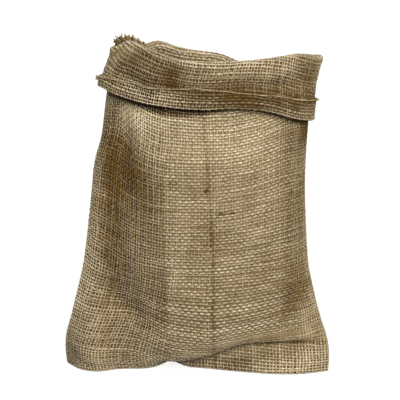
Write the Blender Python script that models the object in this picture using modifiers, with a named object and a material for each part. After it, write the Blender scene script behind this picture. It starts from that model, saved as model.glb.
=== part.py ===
"""A small burlap sack standing filled out, with its mouth turned down outside as a cuff.

One length of loosely woven jute cloth is folded at the bottom, sewn up both sides, hemmed round
the mouth and turned down.  The solid is that one cloth: two panels that meet at the side seams
and at the bottom fold, open at the mouth, with the hem as a thicker band along its lower edge.

x runs across the sack, y from front (minus) to back (plus), z up.  Sizes are in millimetres and
become metres in one place.  "Along" is the distance over the cloth from the bottom fold.
"""

import bpy
import numpy as np

MM = 0.001
NAME = "burlap_sack"

# the cloth
CLOTH = 1.8                 # thickness of the jute cloth
HEM = 3.2                   # thickness where the hem doubles it
LENGTH = 312.0              # bottom fold to hem edge, over the rim
SEAM_GAP = 1.7              # half the space between the panels' middles at seams and fold
SEAM_ROUND = 60             # how late that space closes across a panel: a power of the distance
RIM_BEND = 2.3              # bending radius where the mouth turns down
FLOOR = CLOTH / 2           # height of the middle of cloth that lies on the floor
BASE_ALONG = 95.0           # over the cloth, the filled base ends here
BASE_HEIGHT = 80.0          # and stands this high
BACK_SAG = 14.0             # the middle of the back panel is this much lower there
FLAT_BASE = 32.0            # cloth of the back panel that lies flat on the floor, in the middle
FLAT_TAPER = 3              # how late the flat base narrows towards the seams
FLAT_TURN = 25.0            # cloth that turns up behind it
STRIP_REACH = 130.0         # how far up the cloth the front's standing strip is felt
BACK_EAR = 16.0             # at the seams the back panel stands up against the front this high
BACK_EAR_TAPER = 12
MOST_LEAN = 0.999           # the most the cloth leans out, as a share of its own length

# where the middle of the whole sack is, seen from above, so that it can stand over the origin
CENTRE_X = -0.1
CENTRE_Y = 6.68

# colour and surface of jute
JUTE_COLOUR = (0.34, 0.26, 0.145, 1.0)
JUTE_ROUGHNESS = 0.95

# how finely the cloth is laid out before the solid's own columns and rows are picked from it
FINE_COLUMNS = 181
FINE_STEP = 1.5
FINE_TOP = 282.0            # past the rim at its highest

# the solid's rows: up the body as a distance, round the rim as a share of the half turn, and down
# the cuff as a share of what is left above the hem, then as a share of the hem, up from its edge
BODY_ROWS = (0, 4, 8, 13, 19, 26, 34, 44, 56, 70, 86, 104, 124, 144, 164, 184, 202, 218, 234, 250)
RIM_ROWS = (0, 0.25, 0.5, 0.75, 1.0)
CUFF_ROWS = (0.35, 0.7, 0.97)
HEM_ROWS = (0.93, 0.47, 0.0)
BELOW_BEND = 8.0            # the last row up the body stands this far below the bend of the rim
CUFF_BODY_ROWS = (244, 236, 230, 229, 224, 218)     # the body's rows behind the cuff's and the hem's

# the solid's columns: how many between one line of a panel and the next
FRONT_COLUMNS = (2, 3, 3, 4, 6, 6, 5, 2)
BACK_COLUMNS = (6, 8, 10, 7)
SEAM_EDGE = 0.02            # share of the panel where one more column keeps the seam narrow

# Outline of the sack seen from the front, and how far back each side seam stands.
SEAMS = np.array([
    # along  left_x  right_x  left_y  right_y
    [0.0,   -102.7,  103.0,   8.0,  -15.0],
    [15.0,  -103.8,  103.6,   7.0,  -14.5],
    [30.0,  -102.8,  102.0,   5.0,  -10.0],
    [45.0,   -99.4,   97.7,   3.0,   -4.5],
    [70.0,   -94.3,   92.0,   2.0,    1.0],
    [100.0,  -88.5,   87.0,   0.0,    6.0],
    [130.0,  -85.0,   85.2,   0.0,    9.0],
    [160.0,  -82.0,   84.2,   3.0,   10.0],
    [185.0,  -79.5,   85.0,   8.0,   10.0],
    [205.0,  -74.3,   86.2,  14.0,    8.0],
    [225.0,  -72.0,   86.8,  21.0,    6.0],
    [240.0,  -70.2,   87.8,  25.8,    5.3],
    [250.0,  -68.4,   90.0,  28.0,    4.8],
    [260.0,  -65.8,   94.0,  29.6,    4.4],
    [270.0,  -63.0,   98.5,  31.0,    4.0],
])

# How far the bottom fold wanders in front (minus) or behind (plus) the line between its corners.
FOLD = np.array([
    # across  y
    [-1.0,    0.0],
    [-0.90, -16.0],
    [-0.78, -22.0],
    [-0.60, -12.5],
    [-0.40,  -9.0],
    [-0.21,  -3.0],
    [0.0,    -3.0],
    [0.25,   -8.0],
    [0.55,  -13.0],
    [0.80,  -10.0],
    [1.0,     0.0],
])
FOLD_REACH = 40.0           # how far up the cloth that wander fades out
# Where the left crease meets the bottom fold it lifts it off the floor in a small arch.
ARCH_X = -20.5
ARCH_HEIGHT = 4.8
ARCH_WIDTH = 9.0
ARCH_REACH = 12.0

# Height of the strip above the bottom fold that stands flat under the overhanging belly.
STRIP = np.array([
    # across  height
    [-1.0,   16.0],
    [-0.8,    3.0],
    [-0.3,    1.0],
    [-0.06,   6.0],
    [0.15,   14.0],
    [0.35,   22.0],
    [0.6,    26.0],
    [1.0,    28.0],
])

# The front panel: how far it stands out from the plane of the seams, along seven lines up the sack.
FRONT = np.array([
    # along  ridge trough flank left_crease right_crease shoulder turn
    [0.0,     0.0,   0.0,   0.0,   0.0,   0.0,   0.0,   0.0],
    [5.0,     2.0,   2.5,   4.2,   4.8,   5.0,   4.9,   4.0],
    [10.0,    4.0,   5.5,   8.2,   9.4,   9.8,   9.6,   7.5],
    [25.0,    8.0,  11.0,  19.0,  22.5,  24.0,  22.0,  12.0],
    [40.0,   11.0,  12.5,  26.0,  31.5,  34.5,  30.0,  14.0],
    [65.0,   12.0,   8.5,  30.0,  39.5,  42.5,  36.0,  17.0],
    [100.0,  12.5,   5.5,  33.5,  44.5,  47.0,  38.5,  20.0],
    [140.0,  12.5,   4.5,  35.0,  46.0,  48.5,  38.5,  21.0],
    [180.0,  11.0,   4.5,  35.0,  45.0,  47.0,  37.5,  20.0],
    [215.0,   8.0,   5.5,  33.0,  44.5,  46.5,  37.0,  18.0],
    [245.0,   3.5,   4.0,  23.5,  44.5,  52.0,  39.0,  15.0],
    [270.0,   1.0,   1.5,  13.0,  40.0,  55.5,  39.0,  12.0],
])

# The lines: where each stands at four heights, and how softly the cloth bends along it on the body
# and at the rim.  Kind 0 is given by its x.  Kind -1 stands at a share of the way from the left seam
# to the first kind 0 line, and kind 1 at a share of the way from the last kind 0 line to the right seam.
LINE_HEIGHTS = (0.0, 45.0, 120.0, 270.0)
SOFTER = (170.0, 225.0)     # between these distances up the cloth the bends change to the rim's
FRONT_LINES = np.array([
    # kind   base    low  middle   rim  bend  rim_bend
    [-1.0,   0.12,  0.12,  0.10,  0.12,  5.0,  5.0],    # ridge beside the left seam
    [-1.0,   0.66,  0.60,  0.30,  0.34, 10.0, 10.0],    # trough behind the ridge
    [-1.0,   0.84,  0.82,  0.64,  0.62, 12.0, 12.0],    # flank of the belly
    [0.0,   -20.5, -23.0, -24.5, -29.0,  4.0, 13.0],    # left crease
    [0.0,    14.7,  13.0,  12.0,   1.0,  9.0, 14.0],    # right crease
    [1.0,    0.50,  0.50,  0.50,  0.50, 22.0, 22.0],    # shoulder
    [1.0,    0.88,  0.88,  0.88,  0.88,  7.0,  7.0],    # where the cloth turns back to the right seam
])

# The back panel: flat on the floor, then round up the back, along four lines.
BACK = np.array([
    # along   left  left_mid right_mid right
    [0.0,     0.0,   0.0,   0.0,   0.0],
    [15.0,    7.0,  15.0,  15.0,   7.0],
    [30.0,   15.0,  29.5,  29.5,  15.0],
    [45.0,   20.0,  41.0,  41.0,  20.0],
    [65.0,   24.0,  49.5,  49.5,  24.0],
    [95.0,   26.0,  53.0,  53.0,  26.0],
    [140.0,  26.0,  53.0,  52.0,  26.0],
    [190.0,  20.0,  46.0,  47.0,  24.0],
    [235.0,  11.0,  30.0,  37.0,  21.0],
    [270.0,   3.0,  19.0,  34.0,  18.0],
])
BACK_LINES = np.array([
    # kind   base    low  middle   rim  bend  rim_bend
    [-1.0,   0.30,  0.30,  0.30,  0.40, 12.0, 12.0],
    [0.0,   -45.0, -43.0, -38.0, -20.0, 26.0, 26.0],
    [0.0,    45.0,  44.0,  42.0,  38.0, 26.0, 26.0],
    [1.0,    0.70,  0.70,  0.70,  0.70, 12.0, 12.0],
])

# The rim of the mouth, and how much cloth is turned down over it.
RIM = np.array([
    # across front_z back_z cuff
    [-1.0,  250.3, 250.3, 33.1],
    [-0.85, 257.2, 254.6, 39.9],
    [-0.72, 255.7, 251.2, 39.9],
    [-0.6,  253.9, 252.9, 39.1],
    [-0.4,  251.3, 247.6, 37.9],
    [-0.22, 250.9, 244.0, 38.0],
    [0.0,   251.0, 241.1, 38.2],
    [0.25,  251.2, 233.8, 38.2],
    [0.45,  251.9, 234.2, 40.4],
    [0.6,   252.7, 236.0, 43.4],
    [0.85,  252.5, 244.5, 49.9],
    [1.0,   248.4, 248.4, 51.2],
])

# How far the cuff stands off the cloth behind it, besides the bend of the rim.
CUFF_STANDS_OFF = np.array([
    # down  left_end left middle right right_end
    [0.0,    0.0,   0.0,   0.0,   0.0,  0.0],
    [12.0,   1.2,   1.6,   2.0,   1.8,  0.5],
    [20.0,   1.7,   1.4,   2.2,   1.6,  0.0],
    [25.0,   1.9,   1.4,   2.0,   1.4,  0.0],
    [38.0,   2.1,   2.4,   1.6,   1.8, -1.2],
    [52.0,   2.8,   2.8,   1.2,   2.4, -1.8],
])
CUFF_ACROSS = (-1.0, -0.7, 0.0, 0.6, 1.0)
# how wide the hem was turned up, from the edge of the cuff, on the front and on the back panel
HEM_WIDTHS = np.array([
    # across front  back
    [-1.0,    8.0,   8.0],
    [-0.8,   11.0,  12.0],
    [-0.6,   12.3,  13.5],
    [-0.4,   14.6,  14.5],
    [-0.15,  16.8,  15.0],
    [0.0,    16.3,  15.0],
    [0.3,    13.3,  15.0],
    [0.6,    13.8,  15.0],
    [0.88,   16.3,  16.0],
    [1.0,    16.5,  16.5],
])


def through(table, column, at):
    """A smooth curve through one column of a table, read at the given values of the first one."""
    known, value = table[:, 0], table[:, column]
    slope = np.gradient(value, known)
    at = np.clip(at, known[0], known[-1])
    low = np.clip(np.searchsorted(known, at, side="right") - 1, 0, len(known) - 2)
    width = known[low + 1] - known[low]
    t = (at - known[low]) / width
    start = (2 * t**3 - 3 * t**2 + 1) * value[low] + (t**3 - 2 * t**2 + t) * width * slope[low]
    end = (3 * t**2 - 2 * t**3) * value[low + 1] + (t**3 - t**2) * width * slope[low + 1]
    return start + end


def lift(t, low, high):
    """0 below low, 1 above high, and a soft S between."""
    t = np.clip((t - low) / (high - low), 0, 1)
    return t * t * (3 - 2 * t)


def places_of(lines, left, right, along):
    """Where a panel's seams and bend lines stand across the sack, at distances up the cloth."""
    places = [through(np.array([LINE_HEIGHTS, line[1:5]]).T, 1, along) for line in lines]
    standing = [place for place, line in zip(places, lines) if line[0] == 0]
    for i, line in enumerate(lines):
        if line[0] < 0:
            places[i] = left + (standing[0] - left) * places[i]
        elif line[0] > 0:
            places[i] = standing[-1] + (right - standing[-1]) * places[i]
    return [left] + places + [right]


def bent_section(x, places, lines, depths, along):
    """Depth of a panel at x: straight flats between the lines, each bent as softly as its line says.

    Each bend adds (change of slope) * (t + sqrt(t^2 + bend^2)) / 2, with t the distance past it."""
    bends = [line[5] + (line[6] - line[5]) * lift(along, *SOFTER) for line in lines]
    depths = [0 * x] + depths + [0 * x]
    slopes = [np.divide(depths[i + 1] - depths[i], places[i + 1] - places[i]) for i in range(len(lines) + 1)]

    def section(where):
        depth = slopes[0] * (where - places[0])
        for i, bend in enumerate(bends):
            past = where - places[i + 1]
            depth = depth + (slopes[i + 1] - slopes[i]) * (past + np.sqrt(past**2 + bend**2)) / 2
        return depth

    share = (x - places[0]) / (places[-1] - places[0])
    return section(x) - section(places[0]) * (1 - share) - section(places[-1]) * share


def laid_out():
    """Both panels of the body as fine grids of points, and the cloth distance of their rim."""
    across = -np.cos(np.linspace(0, np.pi, FINE_COLUMNS))
    steps = np.arange(0, FINE_TOP, FINE_STEP)
    p, along = np.meshgrid(across, steps)
    left, right = through(SEAMS, 1, along), through(SEAMS, 2, along)
    x = left + (right - left) * (p + 1) / 2
    middle = through(SEAMS, 3, along) * (1 - p) / 2 + through(SEAMS, 4, along) * (1 + p) / 2
    middle = middle + through(FOLD, 1, p) * np.exp(-((along / FOLD_REACH) ** 2))
    arch = ARCH_HEIGHT * np.exp(-(((x - ARCH_X) / ARCH_WIDTH) ** 2) - (along / ARCH_REACH) ** 2)
    tip = SEAM_GAP * np.sqrt(1 - np.abs(p) ** SEAM_ROUND)
    end = LENGTH - through(RIM, 3, across) - RIM_BEND * np.pi / 2
    panels = []
    for side, table, lines, rim_z in ((-1, FRONT, FRONT_LINES, 1), (1, BACK, BACK_LINES, 2)):
        strip = through(STRIP, 1, p) if side < 0 else BACK_EAR * np.abs(p) ** BACK_EAR_TAPER
        free = np.clip(along - strip * np.exp(-((along / STRIP_REACH) ** 2)), 0, None)
        depths = [through(table, i + 1, free) for i in range(len(lines))]
        places = places_of(lines, left, right, along)
        out = np.clip(bent_section(x, places, lines, depths, along), 0, None)
        flat = 0 * p
        if side > 0:
            flat = FLAT_BASE * (1 - np.abs(p) ** FLAT_TAPER)
            out = along + (out - along) * lift(along, flat, flat + FLAT_TURN)
        lean = np.clip(np.gradient(out, FINE_STEP, axis=0), -MOST_LEAN, MOST_LEAN)
        rise = np.sqrt(1 - lean**2) * FINE_STEP * (along > flat)
        z = np.cumsum(rise, axis=0) - rise[0]
        # every column reaches one height at the top of the base, and the rim's height at the rim
        target = through(RIM, rim_z, across) - RIM_BEND - FLOOR
        base = np.array([np.interp(BASE_ALONG, steps, column) for column in z.T])
        reached = np.array([np.interp(last, steps, column) for last, column in zip(end, z.T)])
        height = BASE_HEIGHT - BACK_SAG * (1 - across**2) * (side > 0)
        low = np.minimum(z, base) * height / base
        high = np.maximum(z - base, 0) * (target - height) / (reached - base)
        z = low + high
        y = middle + side * (tip + out)
        points = np.stack([x - CENTRE_X, y - CENTRE_Y, z + FLOOR + arch], -1)
        panels.append(points)
    return across, steps, end, panels


def outward(points, side):
    """Level directions pointing out of the sack, square to each row of points."""
    run = np.gradient(points, axis=1)
    flat = np.stack([-run[..., 1], run[..., 0], 0 * run[..., 0]], -1) * side
    # at a seam both panels share one direction, straight out along x
    flat[:, 0] = (-1, 0, 0)
    flat[:, -1] = (1, 0, 0)
    return flat / np.linalg.norm(flat, axis=-1, keepdims=True)


class Panel:
    """One panel of the cloth, from the bottom fold over the rim to the hem."""

    def __init__(self, across, steps, end, points, side):
        self.across, self.steps, self.end = across, steps, end
        self.points, self.out = points, outward(points, side)
        self.hem = through(HEM_WIDTHS, 1 if side < 0 else 2, across)

    def place(self, column, along):
        """Points at fractional columns and at distances along the cloth.

        Up the body they lie on the grid.  Round the rim they follow a half circle.  Past it
        they run back down the outside, a small distance off the body."""
        end = np.interp(column, np.arange(len(self.end)), self.end)
        hem = np.interp(column, np.arange(len(self.hem)), self.hem)
        turn = np.clip((along - end) / RIM_BEND, 0, np.pi)
        down = np.clip(along - end - np.pi * RIM_BEND, 0, None)
        body = np.minimum(along, end) - down
        p = np.interp(column, np.arange(len(self.across)), self.across)
        off = np.zeros_like(body)
        for i, here in enumerate(CUFF_ACROSS):
            weight = np.interp(p, CUFF_ACROSS, np.arange(len(CUFF_ACROSS)) == i)
            off = off + weight * through(CUFF_STANDS_OFF, i + 1, down)
        off = off + (HEM - CLOTH) / 2 * (along > LENGTH - hem)
        off = RIM_BEND * (1 - np.cos(turn)) + np.where(down > 0, off, 0)
        row = np.clip(body / FINE_STEP, 0, len(self.steps) - 1.001)
        column = np.clip(column, 0, len(self.across) - 1.001)
        i, j = row.astype(int), column.astype(int)
        a, b = (row - i)[..., None], (column - j)[..., None]

        def read(grid):
            low = grid[i, j] * (1 - b) + grid[i, j + 1] * b
            high = grid[i + 1, j] * (1 - b) + grid[i + 1, j + 1] * b
            return low * (1 - a) + high * a

        point = read(self.points) + read(self.out) * off[..., None]
        point[..., 2] += RIM_BEND * np.sin(turn)
        return point


def rows_of(end, hem):
    """Distances along the cloth of all the solid's rows, at columns where the body ends at end
    and the hem is this wide."""
    rows = [row / BODY_ROWS[-1] * (end - BELOW_BEND) for row in BODY_ROWS]
    rows += [end + share * np.pi * RIM_BEND for share in RIM_ROWS]
    cuff = end + np.pi * RIM_BEND
    rows += [cuff + share * (LENGTH - hem - cuff) for share in CUFF_ROWS]
    rows += [LENGTH - share * hem for share in HEM_ROWS]
    return np.array(rows)


def columns_of(lines, counts):
    """Where the solid's columns stand across a panel (-1 to 1), row by row: one runs up each line."""
    heights = np.concatenate([BODY_ROWS, [BODY_ROWS[-1]] * len(RIM_ROWS), CUFF_BODY_ROWS])
    left, right = through(SEAMS, 1, heights), through(SEAMS, 2, heights)
    places = places_of(lines, left, right, heights)
    across = [2 * (place - left) / (right - left) - 1 for place in places]
    picked = [across[0], across[0] + SEAM_EDGE]
    for i, count in enumerate(counts):
        for k in range(1, count + 1):
            picked.append(across[i] + (across[i + 1] - across[i]) * k / count)
    picked.insert(-1, across[-1] - SEAM_EDGE)
    return np.clip(np.array(picked).T, -1, 1)


def cloth_surface():
    """The middle of the cloth as rings of points from the bottom fold to the hem's edge."""
    across, steps, end, grids = laid_out()
    front_at, back_at = columns_of(FRONT_LINES, FRONT_COLUMNS), columns_of(BACK_LINES, BACK_COLUMNS)
    # at the bottom fold the back panel's columns meet the front panel's
    heights = BODY_ROWS + (BODY_ROWS[-1],) * (len(front_at) - len(BODY_ROWS))
    apart = lift(np.array(heights), 0, BASE_ALONG)
    back_at = front_at + (back_at - front_at) * apart[:, None]
    sides = []
    for grid, side, at in ((grids[0], -1, front_at), (grids[1], 1, back_at)):
        panel = Panel(across, steps, end, grid, side)
        column = np.arccos(-at) / np.pi * (len(across) - 1)
        ends = np.interp(column, np.arange(len(end)), end)
        hems = np.interp(column, np.arange(len(panel.hem)), panel.hem)
        along = np.array([rows_of(ends[i], hems[i])[i] for i in range(len(column))])
        sides.append(panel.place(column, along))
    return sides


def build():
    """The sack's one solid: the lofted middle surface of its cloth, made thick."""
    for old in list(bpy.data.objects):
        bpy.data.objects.remove(old, do_unlink=True)
    collection = bpy.data.collections.new(NAME)
    bpy.context.scene.collection.children.link(collection)

    front, back = cloth_surface()
    ring = np.concatenate([front, back[:, -2:0:-1]], axis=1)
    rows, around = ring.shape[:2]
    points = (ring.reshape(-1, 3) * MM).tolist()
    faces = []
    for i in range(rows - 1):
        for j in range(around):
            k = (j + 1) % around
            faces.append((i * around + j, i * around + k, (i + 1) * around + k, (i + 1) * around + j))
    # the bottom fold joins the two panels
    for j in range(front.shape[1] - 1):
        under = [j, (around - j) % around, (around - j - 1) % around, j + 1]
        faces.append(tuple(dict.fromkeys(under)))

    mesh = bpy.data.meshes.new("sack_cloth")
    mesh.from_pydata(points, [], faces)
    cloth = bpy.data.objects.new("sack_cloth", mesh)
    collection.objects.link(cloth)
    thick = cloth.vertex_groups.new(name="hem")
    thick.add(list(range((rows - len(HEM_ROWS)) * around, rows * around)), 1.0, "REPLACE")

    wall = cloth.modifiers.new("cloth", "SOLIDIFY")
    wall.thickness = HEM * MM
    wall.offset = 0.0
    wall.vertex_group = "hem"
    wall.thickness_vertex_group = CLOTH / HEM
    mesh.polygons.foreach_set("use_smooth", [True] * len(mesh.polygons))

    jute = bpy.data.materials.new("woven_jute")
    jute.use_nodes = True
    shader = jute.node_tree.nodes["Principled BSDF"]
    shader.inputs["Base Color"].default_value = JUTE_COLOUR
    shader.inputs["Roughness"].default_value = JUTE_ROUGHNESS
    shader.inputs["Metallic"].default_value = 0.0
    mesh.materials.append(jute)


build()
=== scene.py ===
"""A small burlap sack standing filled out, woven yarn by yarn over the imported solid.

The cloth's middle surface is worked out with the same sizes and formulas as the solid's, so every
yarn lies where the solid's cloth does.  x runs across the sack, y from front (minus) to back
(plus), z up.  Sizes are in millimetres and become metres in one place.  "Along" is the distance
over the cloth from the bottom fold, "across" is -1 at the left seam and 1 at the right one.
"""

import bpy
import numpy as np
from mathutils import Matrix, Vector


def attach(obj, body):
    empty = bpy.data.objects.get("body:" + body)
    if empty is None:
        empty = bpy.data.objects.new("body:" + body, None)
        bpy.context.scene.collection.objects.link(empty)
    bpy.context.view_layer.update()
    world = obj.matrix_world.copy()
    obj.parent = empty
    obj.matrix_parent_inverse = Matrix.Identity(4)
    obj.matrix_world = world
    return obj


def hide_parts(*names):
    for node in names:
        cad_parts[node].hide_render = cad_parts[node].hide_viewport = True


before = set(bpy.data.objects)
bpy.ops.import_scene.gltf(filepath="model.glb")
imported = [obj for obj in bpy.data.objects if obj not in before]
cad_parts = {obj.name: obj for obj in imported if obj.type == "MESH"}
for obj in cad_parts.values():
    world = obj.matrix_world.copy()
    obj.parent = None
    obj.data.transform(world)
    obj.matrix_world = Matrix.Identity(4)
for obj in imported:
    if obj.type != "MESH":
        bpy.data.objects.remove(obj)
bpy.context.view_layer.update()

MM = 0.001
SEED = 27

# ---------------------------------------------------------------- sizes shared with the solid

CLOTH = 1.8                 # thickness of the solid's cloth
LENGTH = 312.0              # of a panel, from the bottom fold to the hem's edge
SEAM_GAP = 1.7              # half the gap between the panels, rounded off at the seams
SEAM_ROUND = 60
RIM_BEND = 2.3              # bending radius where the mouth turns down
FLOOR = CLOTH / 2           # the bottom fold's middle stands this high
BASE_ALONG = 95.0           # at this distance along the cloth
BASE_HEIGHT = 80.0          # a panel is this high,
BACK_SAG = 14.0             # and the middle of the back so much lower
FLAT_BASE = 32.0            # so much of the back panel lies flat on the floor in its middle,
FLAT_TAPER = 3              # less towards the seams,
FLAT_TURN = 25.0            # and it turns up over this distance
STRIP_REACH = 130.0         # how far up the flat strip's height is still felt
BACK_EAR = 16.0             # the same strip at the two lower corners behind
BACK_EAR_TAPER = 12
MOST_LEAN = 0.999
CENTRE_X = -0.1             # the solid's box is centred on the origin by these
CENTRE_Y = 6.68
FINE_COLUMNS = 181
FINE_STEP = 1.5
FINE_TOP = 282.0

# outline of the sack seen from the front, and how far back each side seam stands
SEAMS = np.array([
    # along left_x right_x left_y right_y
    [0,   -102.7, 103.0,  8.0, -15.0],
    [15,  -103.8, 103.6,  7.0, -14.5],
    [30,  -102.8, 102.0,  5.0, -10.0],
    [45,   -99.4,  97.7,  3.0,  -4.5],
    [70,   -94.3,  92.0,  2.0,   1.0],
    [100,  -88.5,  87.0,  0.0,   6.0],
    [130,  -85.0,  85.2,  0.0,   9.0],
    [160,  -82.0,  84.2,  3.0,  10.0],
    [185,  -79.5,  85.0,  8.0,  10.0],
    [205,  -74.3,  86.2, 14.0,   8.0],
    [225,  -72.0,  86.8, 21.0,   6.0],
    [240,  -70.2,  87.8, 25.8,   5.3],
    [250,  -68.4,  90.0, 28.0,   4.8],
    [260,  -65.8,  94.0, 29.6,   4.4],
    [270,  -63.0,  98.5, 31.0,   4.0],
])

# how far the bottom fold wanders in front (minus) or behind (plus) the line between its corners
FOLD = np.array([
    # across y
    [-1.00,   0.0],
    [-0.90, -16.0],
    [-0.78, -22.0],
    [-0.60, -12.5],
    [-0.40,  -9.0],
    [-0.21,  -3.0],
    [0.00,   -3.0],
    [0.25,   -8.0],
    [0.55,  -13.0],
    [0.80,  -10.0],
    [1.00,    0.0],
])
FOLD_REACH = 40.0
# the fold arches clear of the floor at one place
ARCH_X = -20.5
ARCH_HEIGHT = 4.8
ARCH_WIDTH = 9.0
ARCH_REACH = 12.0

# height of the strip above the bottom fold that stands flat under the overhanging belly
STRIP = np.array([
    # across height
    [-1.00, 16],
    [-0.80,  3],
    [-0.30,  1],
    [-0.06,  6],
    [0.15,  14],
    [0.35,  22],
    [0.60,  26],
    [1.00,  28],
])

# the front panel: how far it stands out from the plane of the seams, along seven lines up the sack
FRONT = np.array([
    # along ridge trough flank left_crease right_crease shoulder turn
    [0,    0.0,  0.0,  0.0,  0.0,  0.0,  0.0,  0.0],
    [5,    2.0,  2.5,  4.2,  4.8,  5.0,  4.9,  4.0],
    [10,   4.0,  5.5,  8.2,  9.4,  9.8,  9.6,  7.5],
    [25,   8.0, 11.0, 19.0, 22.5, 24.0, 22.0, 12.0],
    [40,  11.0, 12.5, 26.0, 31.5, 34.5, 30.0, 14.0],
    [65,  12.0,  8.5, 30.0, 39.5, 42.5, 36.0, 17.0],
    [100, 12.5,  5.5, 33.5, 44.5, 47.0, 38.5, 20.0],
    [140, 12.5,  4.5, 35.0, 46.0, 48.5, 38.5, 21.0],
    [180, 11.0,  4.5, 35.0, 45.0, 47.0, 37.5, 20.0],
    [215,  8.0,  5.5, 33.0, 44.5, 46.5, 37.0, 18.0],
    [245,  3.5,  4.0, 23.5, 44.5, 52.0, 39.0, 15.0],
    [270,  1.0,  1.5, 13.0, 40.0, 55.5, 39.0, 12.0],
])
# the lines: kind 0 by its x, kind -1 and 1 as shares of the way to a seam, at four heights
LINE_HEIGHTS = (0.0, 45.0, 120.0, 270.0)
SOFTER = (170.0, 225.0)     # between these distances bend becomes rim_bend
LEFT_CREASE, RIGHT_CREASE = 3, 4        # their rows below
FRONT_LINES = np.array([
    # kind base low middle rim bend rim_bend
    [-1,   0.12,   0.12,   0.10,   0.12,  5,  5],
    [-1,   0.66,   0.60,   0.30,   0.34, 10, 10],
    [-1,   0.84,   0.82,   0.64,   0.62, 12, 12],
    [0,  -20.50, -23.00, -24.50, -29.00,  4, 13],
    [0,   14.70,  13.00,  12.00,   1.00,  9, 14],
    [1,    0.50,   0.50,   0.50,   0.50, 22, 22],
    [1,    0.88,   0.88,   0.88,   0.88,  7,  7],
])
# the back panel in the same way, and its lines
BACK = np.array([
    # along left left_mid right_mid right
    [0,    0,  0.0,  0.0,  0],
    [15,   7, 15.0, 15.0,  7],
    [30,  15, 29.5, 29.5, 15],
    [45,  20, 41.0, 41.0, 20],
    [65,  24, 49.5, 49.5, 24],
    [95,  26, 53.0, 53.0, 26],
    [140, 26, 53.0, 52.0, 26],
    [190, 20, 46.0, 47.0, 24],
    [235, 11, 30.0, 37.0, 21],
    [270,  3, 19.0, 34.0, 18],
])
BACK_LINES = np.array([
    # kind base low middle rim bend rim_bend
    [-1,   0.3,   0.3,   0.3,   0.4, 12, 12],
    [0,  -45.0, -43.0, -38.0, -20.0, 26, 26],
    [0,   45.0,  44.0,  42.0,  38.0, 26, 26],
    [1,    0.7,   0.7,   0.7,   0.7, 12, 12],
])
# height of the mouth's rim, and how far the cuff is turned down below it
RIM = np.array([
    # across front_z back_z cuff
    [-1.00, 250.3, 250.3, 33.1],
    [-0.85, 257.2, 254.6, 39.9],
    [-0.72, 255.7, 251.2, 39.9],
    [-0.60, 253.9, 252.9, 39.1],
    [-0.40, 251.3, 247.6, 37.9],
    [-0.22, 250.9, 244.0, 38.0],
    [0.00,  251.0, 241.1, 38.2],
    [0.25,  251.2, 233.8, 38.2],
    [0.45,  251.9, 234.2, 40.4],
    [0.60,  252.7, 236.0, 43.4],
    [0.85,  252.5, 244.5, 49.9],
    [1.00,  248.4, 248.4, 51.2],
])
# how far the cuff stands off the body, at distances down it
CUFF_STANDS_OFF = np.array([
    # down left_end left middle right right_end
    [0,  0.0, 0.0, 0.0, 0.0,  0.0],
    [12, 1.2, 1.6, 2.0, 1.8,  0.5],
    [20, 1.7, 1.4, 2.2, 1.6,  0.0],
    [25, 1.9, 1.4, 2.0, 1.4,  0.0],
    [38, 2.1, 2.4, 1.6, 1.8, -1.2],
    [52, 2.8, 2.8, 1.2, 2.4, -1.8],
])
CUFF_ACROSS = (-1.0, -0.7, 0.0, 0.6, 1.0)
# (the front's widths are another script's results with about 1 mm added)
HEM_WIDTHS = np.array([
    # across front back
    [-1.00,  8.0,  8.0],
    [-0.80, 11.0, 12.0],
    [-0.60, 12.3, 13.5],
    [-0.40, 14.6, 14.5],
    [-0.15, 16.8, 15.0],
    [0.00,  16.3, 15.0],
    [0.30,  13.3, 15.0],
    [0.60,  13.8, 15.0],
    [0.88,  16.3, 16.0],
    [1.00,  16.5, 16.5],
])

# ---------------------------------------------------------------- sizes of the weave

PITCH = 2.42                # from yarn to yarn, ten and a half to the inch
HALF = PITCH / 2            # one ring of points every half yarn
WARPS = 86                  # warp yarns in each panel
WAVE = 0.32                 # how far a yarn rises and dips from the cloth's middle
WEFT_PROUD = 0.05           # the thicker wefts stand this much proud of the warps
WARP_WIDTH = 1.05           # where the wefts are packed they hide most of the warps
WEFT_WIDTH = 1.90
YARN_THICK = 0.84
GROUND_THICK = 0.3          # the matted fibres between the yarns
HEM_BEND = 0.85             # bending radius at the hem's edge
HEM_CLOTH = 18.5            # cloth turned up for the hem in all, with what is tucked under
HEM_START = LENGTH + np.pi * HEM_BEND       # where it has turned round the hem's edge
HEM_TUCK = 1.6              # the fold at the hem's upper edge is this long
HEM_MIDDLE = 8.0            # up from the edge to about the middle of the hem
TUCKED = 0.5                # the tucked cloth lies half way between the hem's two layers,
TUCKED_END = 0.5            # and its end is this far up from the edge
SIDES = 4                   # corners round a yarn
THREAD_WIDTH = 0.95         # the jute twine that the hem is sewn with
THREAD_THICK = 0.85         # its thickness, as a share of that
THREAD_BELOW_TUCK = 1.0
THREAD_OFF = 0.95           # it lies this far off the cloth's middle,
THREAD_DIP = 1.0            # goes in by this much once a stitch,
DIP_SHARE = 0.08            # in this share of the stitch
STITCH = 6.4                # length of one stitch
STITCH_SHIFT = 0.3          # the front's stitches start this share of a stitch later
TWINE_RINGS = 340
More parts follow.
